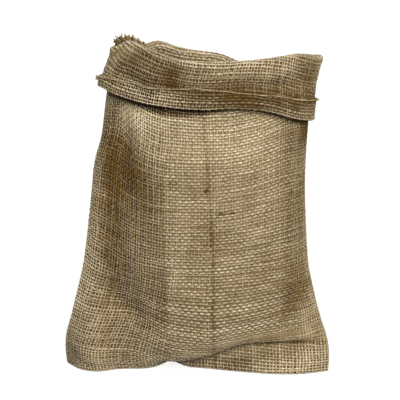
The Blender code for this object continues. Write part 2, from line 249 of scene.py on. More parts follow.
# its mean, how much it changes and over how many rings
TWINE_GIRTH = (1.0, 0.10, 5)
TWINE_TONE = (0.45, 0.25, 3)
TWINE_BROWN = (0.30, 0.20, 12)
TWINE_WANDER = (0.0, 0.22, 16)
END_RINGS = 5               # rings along a loose yarn end
CORNER_REACH = (-0.995, -0.72)       # where the frayed corner stands, across the back panel
CORNER_ENDS = 170
CORNER_HEIGHTS = np.array([
    # across height
    [-1.00, 2.4],
    [-0.98, 6.2],
    [-0.95, 7.0],
    [-0.91, 5.8],
    [-0.87, 4.6],
    [-0.80, 3.6],
    [-0.75, 1.8],
    [-0.72, 0.6],
])
CORNER_LEVELS = (0.12, 0.34, 0.56)   # the yarns along it, as shares of its height
CORNER_FORWARD = 0.9        # it stands so far in front of the back panel's rim
CORNER_BELOW = 0.5          # and its yarns start this far below it
CORNER_GIRTH = (1.2, 0.2, 4)
CORNER_BROWN = (0.5, 0.2, 5)
CORNER_WANDER = (0.0, 0.5, 4)
# its loose ends: how far below the rim they start and how they scatter and lean, the shares of
# the height that they reach, and their looks at root and tip
FRAY = {"below": 1.5, "scatter": 0.5, "share": (0.5, 0.95), "least": 1.0,
        "lean": ((-0.30, 0.25), (-0.1, 0.2)), "curl": 0.25, "width": (1.3, 2.2),
        "root_brown": (0.9, 1.0), "tip_brown": (0.2, 1.0), "pale": (-0.4, 0.6)}
# tufts at the ends of the side seams: up is their distance from the hem's edge
SEAM_TUFTS = np.array([
    # column side ends long up tip_brown
    [0.5,   -1, 16, 3.6,  6.8, 1.0],
    [179.5,  1,  6, 2.4, 15.5, 0.4],
])
TUFT = {"up": (-2.2, 1.2), "scatter": 0.4, "lean": ((0.0, 0.1), (-0.3, 0.3), (0.05, 0.22)),
        "share": (0.5, 1.1), "curl": 0.15, "width": (0.8, 1.3), "root_brown": (0.2, 0.5)}
FIBRES = 1250               # in each panel
FIBRE_LENGTHS = (1.5, 4.5)
FIBRE_WIDTH = 0.15
FIBRE_OFF = 0.4             # they start this far off the cloth's middle
FIBRE_RISES = (0.3, 1.0)    # how they stand up from it,
FIBRE_SLANT = 0.9           # lean
FIBRE_CURL = 0.45           # and curl
FIBRE_BROWN = (0.0, 0.3)
END_TAPER = 0.6             # loose ends lose this share of their width by the tip,
END_THICK = 0.8             # are this much thinner than wide
TIP_PALER = 0.3             # and paler there
FIBRE_CLEAR = 7.0           # none stand out lower than this, where the surface presses them flat


# ---------------------------------------------------------------- the cloth's shape

def through(table, column, at):
    """A smooth curve through one column of a table, read at the given values of the first one.

    Cubic Hermite pieces, whose slopes at the table's rows are its central differences."""
    known, value = table[:, 0], table[:, column]
    slope = np.gradient(value, known)
    at = np.clip(at, known[0], known[-1])
    low = np.clip(np.searchsorted(known, at, side="right") - 1, 0, len(known) - 2)
    width = known[low + 1] - known[low]
    t = (at - known[low]) / width
    start = (2 * t**3 - 3 * t**2 + 1) * value[low] + (t**3 - 2 * t**2 + t) * width * slope[low]
    end = (3 * t**2 - 2 * t**3) * value[low + 1] + (t**3 - t**2) * width * slope[low + 1]
    return start + end


def lift(t, low, high):
    """0 below low, 1 above high, and a soft S between: 3 s^2 - 2 s^3."""
    t = np.clip((t - low) / (high - low), 0, 1)
    return t * t * (3 - 2 * t)


def window(t, start, full, easing, over):
    """0 outside start to over, 1 between full and easing, with soft S's between them."""
    return lift(t, start, full) * (1 - lift(t, easing, over))


def line_at(line, along):
    """One bend line's place at distances up the cloth, from its places at the four heights."""
    return through(np.array([LINE_HEIGHTS, line[1:5]]).T, 1, along)


def places_of(lines, left, right, along):
    """Where a panel's seams and bend lines stand across the sack, at distances up the cloth."""
    places = [line_at(line, along) for line in lines]
    standing = [place for place, line in zip(places, lines) if line[0] == 0]
    for i, line in enumerate(lines):
        if line[0] < 0:
            places[i] = left + (standing[0] - left) * places[i]
        elif line[0] > 0:
            places[i] = standing[-1] + (right - standing[-1]) * places[i]
    return [left] + places + [right]


def bent_section(x, places, lines, depths, along):
    """Depth of a panel at x: straight flats between the lines, bent at each as softly as it says.

    A bend adds (change of slope) * (t + sqrt(t^2 + bend^2)) / 2, with t the distance past it."""
    bends = [line[5] + (line[6] - line[5]) * lift(along, *SOFTER) for line in lines]
    depths = [0 * x] + depths + [0 * x]
    slopes = []
    for i in range(len(lines) + 1):
        slopes.append((depths[i + 1] - depths[i]) / (places[i + 1] - places[i]))

    def section(where):
        depth = slopes[0] * (where - places[0])
        for i, bend in enumerate(bends):
            past = where - places[i + 1]
            depth = depth + (slopes[i + 1] - slopes[i]) * (past + np.sqrt(past**2 + bend**2)) / 2
        return depth

    share = (x - places[0]) / (places[-1] - places[0])
    return section(x) - section(places[0]) * (1 - share) - section(places[-1]) * share


def laid_out():
    """Both panels of the body as fine grids of points, and the cloth distance of their rim.

    The height of a point is the sum of sqrt(1 - lean^2) * step below it, with lean the change of
    its depth in a step, drawn out so that each column reaches the base's and the rim's height."""
    across = -np.cos(np.linspace(0, np.pi, FINE_COLUMNS))
    steps = np.arange(0, FINE_TOP, FINE_STEP)
    p, along = np.meshgrid(across, steps)
    left, right = through(SEAMS, 1, along), through(SEAMS, 2, along)
    x = left + (right - left) * (p + 1) / 2
    middle = through(SEAMS, 3, along) * (1 - p) / 2 + through(SEAMS, 4, along) * (1 + p) / 2
    middle = middle + through(FOLD, 1, p) * np.exp(-((along / FOLD_REACH) ** 2))
    arch = ARCH_HEIGHT * np.exp(-(((x - ARCH_X) / ARCH_WIDTH) ** 2) - (along / ARCH_REACH) ** 2)
    tip = SEAM_GAP * np.sqrt(1 - np.abs(p) ** SEAM_ROUND)
    end = LENGTH - through(RIM, 3, across) - RIM_BEND * np.pi / 2
    panels = []
    for side, table, lines, rim_z in ((-1, FRONT, FRONT_LINES, 1), (1, BACK, BACK_LINES, 2)):
        strip = through(STRIP, 1, p) if side < 0 else BACK_EAR * np.abs(p) ** BACK_EAR_TAPER
        free = np.clip(along - strip * np.exp(-((along / STRIP_REACH) ** 2)), 0, None)
        depths = [through(table, i + 1, free) for i in range(len(lines))]
        places = places_of(lines, left, right, along)
        out = np.clip(bent_section(x, places, lines, depths, along), 0, None)
        flat = 0 * p
        if side > 0:
            flat = FLAT_BASE * (1 - np.abs(p) ** FLAT_TAPER)
            out = along + (out - along) * lift(along, flat, flat + FLAT_TURN)
        lean = np.clip(np.gradient(out, FINE_STEP, axis=0), -MOST_LEAN, MOST_LEAN)
        rise = np.sqrt(1 - lean**2) * FINE_STEP * (along > flat)
        z = np.cumsum(rise, axis=0) - rise[0]
        target = through(RIM, rim_z, across) - RIM_BEND - FLOOR
        base = np.array([np.interp(BASE_ALONG, steps, column) for column in z.T])
        reached = np.array([np.interp(last, steps, column) for last, column in zip(end, z.T)])
        height = BASE_HEIGHT - BACK_SAG * (1 - across**2) * (side > 0)
        low = np.minimum(z, base) * height / base
        high = np.maximum(z - base, 0) * (target - height) / (reached - base)
        z = low + high
        y = middle + side * (tip + out)
        panels.append(np.stack([x - CENTRE_X, y - CENTRE_Y, z + FLOOR + arch], -1))
    return across, steps, end, panels


def outward(points, side):
    """Level directions pointing out of the sack, square to each row of points."""
    run = np.gradient(points, axis=1)
    flat = np.stack([-run[..., 1], run[..., 0], 0 * run[..., 0]], -1) * side
    flat[:, 0] = (-1, 0, 0)
    flat[:, -1] = (1, 0, 0)
    return flat / np.linalg.norm(flat, axis=-1, keepdims=True)


# Small folds that the cloth has over its main shape: where each is centred as seen from the
# front, how its line is turned (degrees, 0 level, plus rising to the right), how far it reaches
# along and across that line, and how far it stands out (plus) or sinks in (minus).
BODY_FOLDS = np.array([
    # x   z   turn length width depth
    [78,   62,  40, 16,  6, -3.0],
    [84,   47,  35, 12,  6,  2.0],
    [58,   38,  10, 30,  7, -1.2],
    [-66,  60, -35, 28,  7, -1.6],
    [-52,  40, -30, 26,  6,  1.6],
    [-57, 172, 100, 34,  9, -2.8],
    [-42, 205, -20, 18,  8,  1.2],
    [20,  205,  10, 30, 10,  1.0],
])
STRIP_FOLDS = np.array([        # in front only, they round the crease over the flat strip
    # x   z   turn length width depth
    [18, 13, 22, 22, 4, 8.0],
    [62, 27,  3, 30, 4, 2.2],
])
CUFF_FOLDS = np.array([
    # x   z   turn length width depth
    [-19, 240,  75,  9, 5, -2.2],
    [-34, 236,  70, 13, 7,  1.0],
    [48,  233,  -4, 30, 5, -2.6],
    [20,  240,   0, 30, 6,  1.2],
    [-52, 232, -24, 24, 5, -1.4],
    [66,  242,  20, 20, 7,  1.2],
    [34,  214,  -2, 26, 5, -1.4],
])
MIRRORED = (-1, 1, -1, 1, 1, 1)      # the back has the same folds, seen from behind
SEAM_FADE = 8               # small folds fade out towards the seams,
FOLDS_START = (8.0, 45.0)   # the bottom fold
FOLDS_END = (40.0, 10.0)    # and the rim, this far below it
CUFF_FOLDS_START = (2.0, 12.0)
WAVES = 14                  # broad uneven waves, so that nothing is quite smooth
WRINKLE_SIZES = (16.0, 46.0)
WRINKLE_DEPTH = 0.42


def folds_at(points, table):
    """Sum over the table of depth * exp(-(a / length)^2 - (b / width)^2), a and b along and across
    each fold's line."""
    depth = 0 * points[..., 0]
    for x, z, turn, length, width, deep in table:
        dx, dz = points[..., 0] - x, points[..., 2] - z
        c, s = np.cos(np.radians(turn)), np.sin(np.radians(turn))
        a, b = c * dx + s * dz, c * dz - s * dx
        depth = depth + deep * np.exp(-((a / length) ** 2) - (b / width) ** 2)
    return depth


def waves_at(points, rng, sizes, taller):
    """Sum of sine waves of random directions and lengths over sqrt(WAVES / 2), about -1 to 1.

    A wave's height is (its length / the longest)^taller."""
    total = 0 * points[..., 0]
    for _ in range(WAVES):
        heading, size = rng.uniform(0, np.pi), rng.uniform(*sizes)
        wave = np.cos(heading) * points[..., 0] + np.sin(heading) * points[..., 2]
        height = (size / sizes[1]) ** taller
        total = total + height * np.sin(2 * np.pi * (wave / size + rng.uniform()))
    return total / np.sqrt(WAVES / 2)


# Towards the left seam the cloth has been pulled askew, so that its wefts slant down to the right.
# How far they are drawn towards the rim, on the body below it and on the cuff.
ASKEW = np.array([
    # across body cuff
    [-1.00, 17.0, 10.0],
    [-0.85,  9.5,  6.5],
    [-0.70,  4.0,  3.5],
    [-0.55,  1.2,  1.2],
    [-0.40,  0.0,  0.0],
    [1.00,   0.0,  0.0],
])
ASKEW_BODY = (30.0, 110.0, 205.0, 262.0)    # along: it starts, is full, eases off and is over
ASKEW_CUFF = (-36.0, 0.0, 6.0, 24.0)        # the same past the rim


def at_columns(values, column):
    """A value for each fine column, read at fractional columns."""
    return np.interp(column, np.arange(len(values)), values)


INSIDE = 1.001              # keeps a reading just inside the grid's last row


class Panel:
    """One panel of the cloth, from the bottom fold over the rim and round the hem."""

    def __init__(self, across, steps, end, points, side):
        self.across, self.steps, self.end, self.side = across, steps, end, side
        self.points, self.out = points, outward(points, side)
        self.hem = through(HEM_WIDTHS, 1 if side < 0 else 2, across)

    def rim(self, column):
        """Distance along the cloth to the top of the rim."""
        return at_columns(self.end, column) + RIM_BEND * np.pi / 2

    def place(self, column, along):
        """Points at fractional columns and at distances along the cloth.

        Up the body they lie on the grid.  Round the rim they follow a half circle.  Past it
        they run back down the outside, a small distance off the body.  At the hem's edge they
        turn round once more and run up the outside again, as far as the hem is wide there, and
        what is left of the cloth is turned under, down between the hem's two layers."""
        end, hem = at_columns(self.end, column), at_columns(self.hem, column)
        p = at_columns(self.across, column)
        over = np.clip(along - LENGTH, 0, None)
        hem_turn = np.clip(over / HEM_BEND, 0, np.pi)
        up = np.clip(over - np.pi * HEM_BEND, 0, None)
        under = np.clip(up - hem, 0, None)
        up = np.maximum(up - 2 * under, TUCKED_END)
        along = np.minimum(along, LENGTH) - up
        turn = np.clip((along - end) / RIM_BEND, 0, np.pi)
        down = np.clip(along - end - np.pi * RIM_BEND, 0, None)
        body = np.minimum(along, end) - down
        off = np.zeros_like(body)
        for i in range(len(CUFF_ACROSS)):
            weight = np.interp(p, CUFF_ACROSS, np.arange(len(CUFF_ACROSS)) == i)
            off = off + weight * through(CUFF_STANDS_OFF, i + 1, down)
        off = RIM_BEND * (1 - np.cos(turn)) + np.where(down > 0, off, 0)
        tucked = 1 - TUCKED * lift(under, 0, HEM_TUCK)
        off = off + HEM_BEND * (1 - np.cos(hem_turn)) * tucked
        row = np.clip(body / FINE_STEP, 0, len(self.steps) - INSIDE)
        column = np.clip(column, 0, len(self.across) - INSIDE)
        i, j = row.astype(int), column.astype(int)
        a, b = (row - i)[..., None], (column - j)[..., None]

        def read(grid):
            low = grid[i, j] * (1 - b) + grid[i, j + 1] * b
            high = grid[i + 1, j] * (1 - b) + grid[i + 1, j + 1] * b
            return low * (1 - a) + high * a

        point, out = read(self.points), read(self.out)
        point = point + out * off[..., None]
        point[..., 2] += RIM_BEND * np.sin(turn) - HEM_BEND * np.sin(hem_turn)
        if self.side < 0:
            body_folds, cuff_folds = np.concatenate([BODY_FOLDS, STRIP_FOLDS]), CUFF_FOLDS
        else:
            body_folds, cuff_folds = BODY_FOLDS * MIRRORED, CUFF_FOLDS * MIRRORED
        rng = np.random.default_rng(SEED + self.side)
        below_rim = 1 - lift(along, end - FOLDS_END[0], end - FOLDS_END[1])
        small = WRINKLE_DEPTH * waves_at(point, rng, WRINKLE_SIZES, 1)
        small = small + folds_at(point, body_folds) * below_rim
        small = small + folds_at(point, cuff_folds) * lift(down, *CUFF_FOLDS_START)
        inner = lift(along, *FOLDS_START) * (1 - np.abs(p) ** SEAM_FADE)
        return point + out * (small * inner)[..., None]


SMOOTH_ROWS = 4             # rows on each side that a row's spacing is averaged with


def even_columns(panel, along, count):
    """Fractional columns that stand evenly spaced over the cloth in each row: the row's running
    length is inverted at even shares, then smoothed a little from row to row."""
    column = np.linspace(0, FINE_COLUMNS - 1, 2 * FINE_COLUMNS)
    grid = panel.place(*np.meshgrid(column, along))
    reach = running(grid)
    share = reach / reach[:, -1:]
    wanted = np.linspace(0, 1, count)
    found = np.array([np.interp(wanted, row, column) for row in share])
    padded = np.concatenate([found[:1]] * SMOOTH_ROWS + [found] + [found[-1:]] * SMOOTH_ROWS)
    window_rows = 2 * SMOOTH_ROWS + 1
    return sum(padded[i:i + len(found)] for i in range(window_rows)) / window_rows


def column_of(across):
    """The fractional column of a place across the panel, whose columns crowd at the seams."""
    return np.arccos(-across) / np.pi * (FINE_COLUMNS - 1)


def unit(vectors):
    """Each vector divided by its length."""
    return vectors / np.maximum(np.linalg.norm(vectors, axis=-1, keepdims=True), 1e-9)


def running(points):
    """Distance along each row of points from its first one."""
    step = np.linalg.norm(np.diff(points, axis=-2), axis=-1).cumsum(axis=-1)
    return np.concatenate([0 * step[..., :1], step], axis=-1)


# ---------------------------------------------------------------- meshes

def mesh_of(name, points, quads, maps, values, material):
    """A mesh object from arrays of points (mm) and quads, with its UV maps and point values."""
    mesh = bpy.data.meshes.new(name)
    mesh.vertices.add(len(points))
    mesh.vertices.foreach_set("co", (points * MM).astype(np.float32).ravel())
    mesh.loops.add(quads.size)
    mesh.loops.foreach_set("vertex_index", quads.astype(np.int32).ravel())
    mesh.polygons.add(len(quads))
    mesh.polygons.foreach_set("loop_start", np.arange(0, quads.size, 4, dtype=np.int32))
    for key, uv in maps.items():
        layer = mesh.uv_layers.new(name=key)
        layer.uv.foreach_set("vector", uv.astype(np.float32).ravel())
    for key, value in values.items():
        layer = mesh.attributes.new(key, "FLOAT", "POINT")
        layer.data.foreach_set("value", np.asarray(value, np.float32).ravel())
    mesh.update(calc_edges=True)
    mesh.polygons.foreach_set("use_smooth", np.ones(len(quads), bool))
    mesh.materials.append(material)
    piece = bpy.data.objects.new(name, mesh)
    bpy.context.scene.collection.objects.link(piece)
    return piece


STRIP_EDGE = 0.05           # of a yarn's strip of the bake map stays free at each edge
END_EDGE = 0.004            # and of its length at each end, for the cut ends,
END_SHARE = 0.003           # which take up this much


def tubes(name, centre, across, up, width, thick, values, material):
    """Yarns as tubes: a ring is centre + across * width / 2 * cos + up * thick / 2 * sin.

    centre, across and up are (yarns, rings, 3), width and thick (yarns, rings).  Each yarn has
    its own strip of the map OFBake, and the map yarn holds millimetres along and round it."""
    yarns, rings = centre.shape[:2]
    angle = np.arange(SIDES) * 2 * np.pi / SIDES
    side = across[:, :, None] * (width[..., None] * np.cos(angle) / 2)[..., None]
    high = up[:, :, None] * (thick[..., None] * np.sin(angle) / 2)[..., None]
    points = (centre[:, :, None] + side + high).reshape(-1, 3)
    index = np.arange(yarns * rings * SIDES).reshape(yarns, rings, SIDES)
    after = np.roll(index, -1, axis=2)
    walls = np.stack([index[:, :-1], after[:, :-1], after[:, 1:], index[:, 1:]], -1)
    caps = np.stack([index[:, 0, ::-1], index[:, -1]], 1)
    yarn, ring, corner = np.indices((yarns, rings - 1, SIDES))
    step, turn = np.array([0, 0, 1, 1]), np.array([0, 1, 1, 0])
    way_round = (corner[..., None] + turn) / SIDES

    def banded(places, number):
        """Places 0 to 1 over one yarn's strip as places on the whole map."""
        return (number + STRIP_EDGE + (1 - 2 * STRIP_EDGE) * places) / yarns

    share = END_EDGE + (1 - 2 * END_EDGE) * (ring[..., None] + step) / (rings - 1)
    cut = np.array([[0, END_SHARE, END_SHARE, 0], [1 - END_SHARE, 1, 1, 1 - END_SHARE]])
    cut = cut + np.zeros((yarns, 1, 1))
    cut_band = banded(step, np.arange(yarns)[:, None, None]) + 0 * cut
    far = running(centre)
    run = np.stack([far[yarn, ring + s] for s in step], -1)
    girth = np.pi * YARN_THICK
    round_it = way_round * girth + yarn[..., None] * (girth + 1)
    pairs = {"OFBake": ((share, banded(way_round, yarn[..., None])), (cut, cut_band)),
             "yarn": ((run, round_it), (far[:, [0, -1], None] + 0 * cut, cut))}
    maps = {key: np.concatenate([np.stack(pair, -1).reshape(-1, 2) for pair in wall_and_cap])
            for key, wall_and_cap in pairs.items()}
    quads = np.concatenate([walls.reshape(-1, 4), caps.reshape(-1, 4)])
    values = {key: np.repeat(value.ravel(), SIDES) for key, value in values.items()}
    return mesh_of(name, points, quads, maps, values, material)


def uneven(rng, yarns, rings, reach):
    """For each yarn a soft random line: random heights every reach rings, joined by soft S's."""
    knots = rng.normal(size=(yarns, int(rings / reach) + 3))
    at = np.arange(rings) / reach + rng.uniform(0, 1, (yarns, 1))
    low = at.astype(int)
    t = lift(at - low, 0, 1)
    rows = np.arange(yarns)[:, None]
    return knots[rows, low] * (1 - t) + knots[rows, low + 1] * t


def drifting(rng, yarns, rings, how):
    """Numbers that change softly along each yarn: how is their mean, change and reach in rings."""
    mean, change, reach = how
    return mean + change * uneven(rng, yarns, rings, reach)


# ---------------------------------------------------------------- materials

TAN_AND_SHADE_TINT = "#7c6a42"          # what old jute's own tan leaves of the light; the marks' painted shade multiplies by it too
STREAKS = (0.55, 3.2, 1.0)  # per mm: streaks 1.8 mm long and 0.3 mm wide.  Real fibres are ten
                            # times finer and would not show
STREAKY = 0.9               # how far a streak goes from the dark to the light colour
MID_SHADE = 0.5             # half way between them
MATTED = 260.0              # per metre: the matted fibres' uneven patches are about 4 mm across


def linear(colour):
    """An sRGB hex colour as linear red, green, blue and alpha."""
    value = np.array([int(colour[i:i + 2], 16) for i in (1, 3, 5)]) / 255
    value = np.where(value <= 0.04045, value / 12.92, ((value + 0.055) / 1.055) ** 2.4)
    return (*value.tolist(), 1.0)


def add(tree, kind, settings=(), **links):
    """One node of a kind, with its settings, and its inputs set to values or linked to sockets.

    An input goes by its name, or by i and its number."""
    node = tree.nodes.new("ShaderNode" + kind)
    for key, value in dict(settings).items():
        setattr(node, key, value)
    for key, value in links.items():
        numbered = key[0] == "i" and key[1:].isdigit()
        socket = node.inputs[int(key[1:]) if numbered else key]
        if isinstance(value, bpy.types.NodeSocket):
            tree.links.new(value, socket)
        else:
            socket.default_value = value
    return node


def new_material(name):
    """An empty node material, its tree and its Principled shader."""
    material = bpy.data.materials.new(name)
    material.use_nodes = True
    tree = material.node_tree
    return material, tree, tree.nodes["Principled BSDF"]


def finished(tree, shader, colour, height, strength, depth, roughness, gloss):
    """Gives a shader its colour, a bump of so many millimetres, its roughness and its gloss."""
    bump = add(tree, "Bump", Height=height, Strength=strength, Distance=depth * MM).outputs[0]
    tree.links.new(colour, shader.inputs["Base Color"])
    tree.links.new(bump, shader.inputs["Normal"])
    shader.inputs["Roughness"].default_value = roughness
    shader.inputs["Specular IOR Level"].default_value = gloss


def jute_yarn(name, dark, light):
    """Bast fibres of jute, loosely twisted into a yarn and neither bleached nor dyed.

    What it gives the eye: a dull straw colour in streaks along the yarn, paler on the fibres that
    stand up and darker in the twist, partly the fibres' own tone and partly painted light and
    shade that follow the bump.  Hardly any gloss, because the fibres scatter it, and a golden
    brown that
    multiplies the straw colour: the jute's own tan, and painted shade where the marks put it."""
    material, tree, shader = new_material(name)
    along = add(tree, "UVMap", {"uv_map": "yarn"}).outputs[0]
    streaks = add(tree, "Mapping", Vector=along, Scale=STREAKS).outputs[0]
    fibres = add(tree, "TexNoise", Vector=streaks, Scale=1.0, Detail=3.0, Roughness=0.65)
    shade = add(tree, "Attribute", {"attribute_name": "shade"}).outputs["Fac"]
    brown = add(tree, "Attribute", {"attribute_name": "brown"}).outputs["Fac"]
    fine = add(tree, "Math", {"operation": "MULTIPLY_ADD"},
               i0=fibres.outputs[0], i1=STREAKY, i2=-STREAKY / 2)
    mixed = add(tree, "Math", {"operation": "ADD", "use_clamp": True},
                i0=shade, i1=fine.outputs[0])
    base = add(tree, "MixRGB", Fac=mixed.outputs[0], Color1=linear(dark), Color2=linear(light))
    # the brown multiplies in the jute's own tan and the marks' painted shade
    tan_and_shade_mix = add(tree, "MixRGB", {"blend_type": "MULTIPLY"},
               Fac=brown, Color1=base.outputs[0], Color2=linear(TAN_AND_SHADE_TINT))
    finished(tree, shader, tan_and_shade_mix.outputs[0], fibres.outputs[0],
             strength=0.5, depth=0.25, roughness=0.86, gloss=0.08)
    return material


def jute_ground(name, dark, light, shaded_inside):
    """Loose jute fibres matted between the yarns, their colour painted darker for the shade there.

    What it gives the eye: a soft brown floor to the holes of the weave, a little uneven from
    place to place and quite without gloss.  Where the yarns are pulled apart there are hardly
    any fibres, and a near black is painted for the shade of the sack's inside."""
    material, tree, shader = new_material(name)
    places = add(tree, "TexCoord").outputs["Object"]
    matted = add(tree, "TexNoise", Vector=places, Scale=MATTED, Detail=4.0, Roughness=0.7)
    bare = add(tree, "Attribute", {"attribute_name": "bare"}).outputs["Fac"]
    brown = add(tree, "Attribute", {"attribute_name": "brown"}).outputs["Fac"]
    base = add(tree, "MixRGB", Fac=matted.outputs[0], Color1=linear(dark), Color2=linear(light))
    # the brown multiplies in the jute's own tan and the painted shade, such as under the cuff
    tan_and_shade_mix = add(tree, "MixRGB", {"blend_type": "MULTIPLY"},
               Fac=brown, Color1=base.outputs[0], Color2=linear(TAN_AND_SHADE_TINT))
    deep = add(tree, "MixRGB", Fac=bare, Color1=tan_and_shade_mix.outputs[0], Color2=linear(shaded_inside))
    finished(tree, shader, deep.outputs[0], matted.outputs[0],
             strength=0.6, depth=0.4, roughness=0.95, gloss=0.10)
    return material


# the warp is spun harder and lies deeper: thinner to the eye, and its colours painted browner than
# the weft's for the shade it lies in
WARP = jute_yarn("spun_jute_warp", "#867656", "#bfaf8d")
# the weft is spun softer and thicker: its colours are painted palest for the light its fuller
# yarns catch
WEFT = jute_yarn("spun_jute_weft", "#8c7d62", "#cbbfa9")
# fibres between the yarns: painted brown for their shade, and painted dark for the sack's shaded
# inside where they are missing
GROUND = jute_ground("matted_jute_fibre_and_shade", "#7a6943", "#94825a", "#33200a")
# two thin yarns plied for sewing: rounder, smoother and more golden than the cloth's own
TWINE = jute_yarn("plied_jute_twine", "#86754f", "#bfb08b")


# ---------------------------------------------------------------- the woven cloth

def cloth_panels():
    """The front and the back panel of the cloth."""
    across, steps, end, grids = laid_out()
    return [Panel(across, steps, end, grid, side) for grid, side in zip(grids, (-1, 1))]


def woven_grids(panels):
    """For each panel: its points every half yarn, rows from the middle of the bottom fold to the
    hem's tucked edge, columns from the left seam to the right one, with each point's distance
    along the cloth and its distance past the rim (minus below it)."""
    along = np.arange(0, HEM_START + HEM_CLOTH, HALF)
    along = along[:len(along) // 2 * 2]
    grown = []
    for panel in panels:
        columns = even_columns(panel, along, 2 * WARPS + 1)
        far = along[:, None] + 0 * columns
        p, rim = -np.cos(columns / (FINE_COLUMNS - 1) * np.pi), panel.rim(columns)
        far = far + through(ASKEW, 1, p) * window(far, *ASKEW_BODY)
        far = far - through(ASKEW, 2, p) * window(far - rim, *ASKEW_CUFF)
        grown.append([panel.place(columns, far), far, far - rim])
    fold = (grown[0][0][:1] + grown[1][0][:1]) / 2
    return [[np.concatenate([fold, points])] + [np.concatenate([a[:1], a]) for a in (far, past)]
            for points, far, past in grown]


def facing(points):
    """Unit directions along the rows, up the columns and square to the cloth."""
    run, rise = unit(np.gradient(points, axis=1)), unit(np.gradient(points, axis=0))
    return run, rise, unit(np.cross(run, rise))


# Where the cloth is browner or paler, and where its yarns are pulled apart: soft oval marks like
# the folds above, each with the brown that it adds and the share of the yarns' width that it
# takes.  The brown is partly the jute's own tan and partly painted shade, and below nothing it is
# painted light.  The brown of the body's and the cuff's marks, and AGED and AGED_CUFF, were not
# chosen by hand: a least-squares fit of tones in another script wrote them.
AGED = 0.36                 # brown of the body's cloth all over
AGED_CUFF = 0.36            # and of the cuff, which is the cloth's other face
CUFF_OPEN = 0.06            # the cuff's yarns stand this much more open
BROWN, OPEN = 5, 6          # those two columns
# painted shade here includes the trough left of the belly; painted light the upper left of the
# belly and the left ridge
BODY_MARKS = np.array([
    # x   z   turn length width brown open
    [-66, 160,  92, 34,  7,  0.27,  0.00],
    [-66,  80,  90, 46,  7,  0.22,  0.00],
    [-46, 108,  88, 44,  8, -0.11,  0.00],
    [-40, 162,  90, 18,  6,  0.19,  0.00],
    [-28, 212,  80,  8,  7,  0.51,  0.00],
    [88,  178,  90, 28,  6, -0.07,  0.00],
    [54,   14,   0, 18,  5,  0.30,  0.00],
    [70,  120,  90, 44,  7,  0.12,  0.00],
    [-74,  26,  20, 16, 10,  0.12,  0.00],
    [12,   17,  14, 38,  9, -0.17, -0.26],
    [-73, 130,  88, 54, 11,  0.22,  0.00],
    [-68, 217,  90,  7,  7, -0.80,  0.00],
    [-29, 193,  90, 16,  9, -0.10,  0.00],
    [30,    8,   0, 14,  7,  0.55,  0.00],
    [90,   82,  80, 12,  7, -0.45,  0.00],
    [-10, 157,   0, 12, 12,  0.21,  0.00],
    [70,  187,  90, 16,  9,  0.35,  0.00],
    [24,  190,   0, 50, 18, -0.39, -0.02],
    [-42, 205,  14, 20, 11, -0.59,  0.00],
    [-62, 203,  90, 16,  8,  0.04,  0.00],
    [-60, 182, 104, 34, 15,  0.37,  0.00],
    [-47, 148, 100, 24,  9,  0.26,  0.00],
    [-55, 146,  96, 34, 18,  0.24,  0.00],
    [-57, 110,  88, 30, 16,  0.20,  0.00],
    [-52,  76,  92, 22, 14,  0.21,  0.00],
    [-42,  46, 125, 20, 12,  0.13,  0.00],
    [-76,  80,  84, 24,  9,  0.03,  0.00],
    [-20,  84,  90, 20, 10, -0.06,  0.00],
    [10,  112,   0, 16, 12,  0.28,  0.00],
    [0,    54,   0, 40, 12,  0.21,  0.00],
    [85,  190,  90, 16,  8,  0.70,  0.00],
    [82,  140,  90, 50, 12,  0.30,  0.00],
    [78,   66,  60, 26, 13,  0.55,  0.00],
    [56,   90,  60, 30, 20,  0.14,  0.00],
    [46,   28,   6, 50,  7,  0.36, -0.26],
    [76,   24,   5, 20,  5,  0.38, -0.05],
    [66,    8,   2, 50,  9, -0.26,  0.14],
    [-64,  48, -40, 36, 20,  0.09,  0.06],
    [-90, 100,  84, 60,  8, -0.83,  0.08],
    [-60,  14,   0, 20,  8,  0.18, -0.05],
    [-26,   7,   0, 14,  6, -0.71, -0.10],
])
# painted shade here includes the hollow at the cuff's left and its hem in the middle; painted
# light the band along the rim
CUFF_MARKS = np.array([
    # x   z   turn length width brown open
    [0,   226,   0, 18,  5, -0.02,  0.00],
    [-42, 250,  20, 13,  6,  0.61,  0.00],
    [70,  240,  90, 14,  7,  0.13,  0.00],
    [-66, 231, -26, 16,  7,  0.55,  0.00],
    [-69, 238,  72, 16,  7, -0.14, -0.30],
    [-52, 233, -26, 22, 10,  0.18,  0.06],
    [-19, 236,  80, 18, 11,  0.17,  0.00],
    [-8,  253,   0, 12,  5, -0.45,  0.00],
    [-26, 223,  -8, 12,  6, -0.61,  0.04],
    [-57, 250,   4, 22, 10, -0.15, -0.42],
    [-22, 242,  70, 14, 12,  0.33,  0.00],
    [-50, 241, -25, 24, 10,  0.16,  0.06],
    [-8,  230,  -6, 26,  7,  0.20,  0.00],
    [34,  229,  -4, 44, 13,  0.47,  0.00],
    [44,  221,  -4, 48,  6,  0.28,  0.00],
    [-50, 224, -24, 24,  6, -0.63,  0.10],
    [-6,  214,  -4, 20,  8,  0.01,  0.06],
    [34,  214,  -2, 34,  6,  0.21,  0.00],
    [84,  212,   0, 16, 10,  0.37,  0.00],
    [86,  240,  90, 16,  7,  0.50,  0.00],
    [6,   252,  -2, 66,  4, -0.35,  0.10],
    [62,  244,   5, 26,  8, -0.09,  0.06],
])
# on the inside of the back, seen through the mouth: painted shade just above the front rim, where
# the rim shades the inside, and a paler band higher up
INSIDE_MARKS = np.array([
    # x   z   turn length width brown open
    [0,   246, -6, 22, 7, -0.40, 0.00],
    [-20, 238, -8, 30, 7,  0.22, 0.10],
    [-30, 247, -6, 30, 5,  0.05, 0.12],
])
